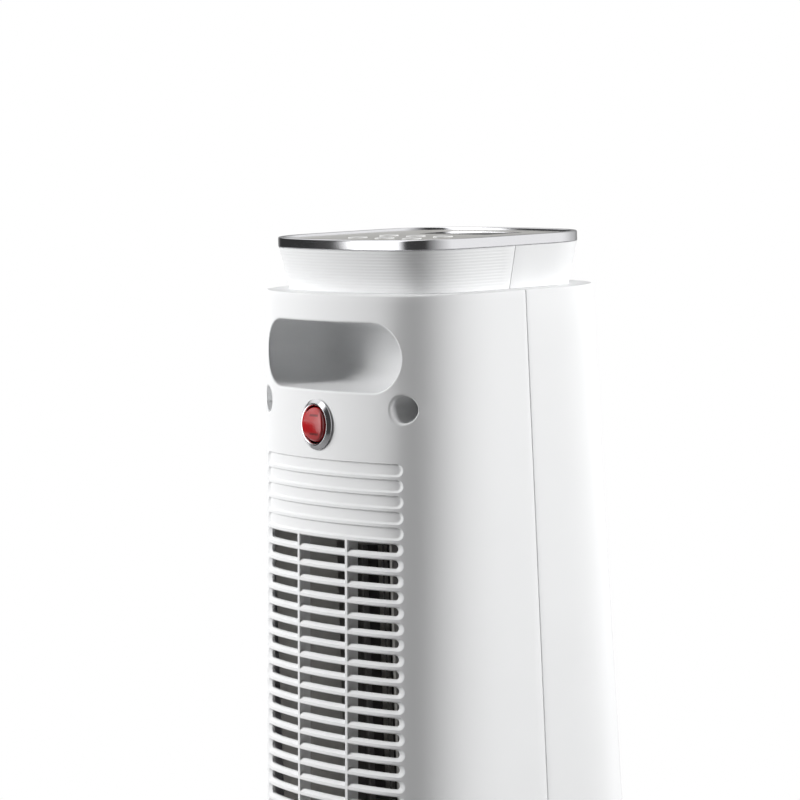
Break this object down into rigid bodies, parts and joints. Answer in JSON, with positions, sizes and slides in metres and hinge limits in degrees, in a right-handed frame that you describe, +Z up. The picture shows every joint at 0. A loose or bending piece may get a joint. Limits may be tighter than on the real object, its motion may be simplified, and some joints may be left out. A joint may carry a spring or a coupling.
{
  "type": "tower heater",
  "caption": "Tower fan heater: a tapered white body on a swivel base, with a rear carry pocket, a round rocker switch, a slotted rear intake and a top control panel.",
  "frame": {"origin": "middle of the round base on the floor", "axes": "+Z up, front with the warm air outlet towards -Y, rear with the intake, switch and carry pocket towards +Y"},
  "size_m": [0.236, 0.236, 0.64],
  "materials": {
    "white_shell": "satin",
    "white_trim": "satin",
    "grey_panel": "smooth",
    "chrome": "polished",
    "black_gloss": "gloss",
    "black_plastic": "satin",
    "dark_window": "gloss",
    "red_lens": "gloss, translucent",
    "button_white": "satin",
    "board_green": "satin",
    "steel": "zinc plated",
    "galvanised": "galvanised",
    "copper": "enamelled wire",
    "aluminium": "plain",
    "grey_casing": "satin",
    "rubber": "matt",
    "nylon": "satin",
    "relay_blue": "smooth",
    "ceramic": "matt"
  },
  "bodies": {
    "base": {"base_plate": "black_plastic", "base_cover": "white_shell", "swing_washer": "nylon", "foot_1": "rubber", "foot_2": "rubber", "foot_3": "rubber", "foot_4": "rubber", "cord_inlet_bush": "rubber", "ring_gear": "nylon", "gear_screw_1": "steel", "gear_screw_2": "steel", "tip_switch_body": "black_plastic"},
    "tower": {"rear_shell": "white_shell", "front_shell": "white_shell", "front_grille": "white_trim", "collar_rear": "white_trim", "collar_front": "white_trim", "control_panel": "grey_panel", "top_rim": "chrome", "switch_body": "black_gloss", "tower_floor": "black_plastic", "display_module": "black_plastic", "thermal_cutout": "black_plastic", "display_window": "dark_window", "control_board": "board_green", "power_board": "board_green", "shell_screw_1": "steel", "shell_screw_2": "steel", "shell_screw_3": "steel", "shell_screw_4": "steel", "motor_bracket_upper": "steel", "motor_bracket_lower": "steel", "fan_bottom_plate": "galvanised", "fan_top_plate": "galvanised", "motor_stator": "galvanised", "swing_motor": "galvanised", "motor_coil": "copper", "heater_fins_left": "aluminium", "heater_fins_right": "aluminium", "fan_housing": "grey_casing", "fan_cutoff": "grey_casing", "upper_bearing": "nylon", "terminal_block": "nylon", "relay_1": "relay_blue", "relay_2": "relay_blue", "heater_frame": "ceramic", "ptc_strip": "ceramic"},
    "tip_plunger": {"tip_plunger": "nylon"},
    "fan": {"fan_wheel": "black_plastic", "fan_shaft": "steel", "motor_rotor": "aluminium"},
    "pinion": {"swing_pinion": "nylon"},
    "rocker": {"power_rocker": "red_lens"},
    "power_button": {"power_button": "button_white"},
    "mode_button": {"mode_button": "button_white"},
    "timer_button": {"timer_button": "button_white"},
    "swing_button": {"swing_button": "button_white"},
    "warmer_button": {"warmer_button": "button_white"},
    "cooler_button": {"cooler_button": "button_white"}
  },
  "joints": [
    {"name": "tower_swing", "type": "hinge", "parent": "base", "child": "tower", "pos_m": [0, 0, 0], "axis": [0, 0, 1], "range_deg": [-35, 35]},
    {"name": "pinion_spin", "type": "hinge", "parent": "tower", "child": "pinion", "pos_m": [0.0401, 0, 0], "axis": [0, 0, 1], "range_deg": [-106, 106]},
    {"name": "fan_spin", "type": "hinge", "parent": "tower", "child": "fan", "pos_m": [0.006, 0.01, 0], "axis": [0, 0, 1], "continuous": true},
    {"name": "rocker_tilt", "type": "hinge", "parent": "tower", "child": "rocker", "pos_m": [0.0025, 0.06005, 0.55725], "axis": [1, 0, 0], "range_deg": [-7, 7]},
    {"name": "tip_plunger_slide", "type": "slide", "parent": "base", "child": "tip_plunger", "axis": [0, 0, -1], "range_m": [0, 0.005], "stiffness_N_per_m": 150, "springref_m": 0.005},
    {"name": "power_button_press", "type": "slide", "parent": "tower", "child": "power_button", "axis": [0, 0, -1], "range_m": [0, 0.0008], "stiffness_N_per_m": 1500},
    {"name": "mode_button_press", "type": "slide", "parent": "tower", "child": "mode_button", "axis": [0, 0, -1], "range_m": [0, 0.0008], "stiffness_N_per_m": 1500},
    {"name": "timer_button_press", "type": "slide", "parent": "tower", "child": "timer_button", "axis": [0, 0, -1], "range_m": [0, 0.0008], "stiffness_N_per_m": 1500},
    {"name": "swing_button_press", "type": "slide", "parent": "tower", "child": "swing_button", "axis": [0, 0, -1], "range_m": [0, 0.0008], "stiffness_N_per_m": 1500},
    {"name": "warmer_button_press", "type": "slide", "parent": "tower", "child": "warmer_button", "axis": [0, 0, -1], "range_m": [0, 0.0008], "stiffness_N_per_m": 1500},
    {"name": "cooler_button_press", "type": "slide", "parent": "tower", "child": "cooler_button", "axis": [0, 0, -1], "range_m": [0, 0.0008], "stiffness_N_per_m": 1500}
  ],
  "couplings": [
    {"joint": "pinion_spin", "follows": "tower_swing", "ratio": 3}
  ]
}
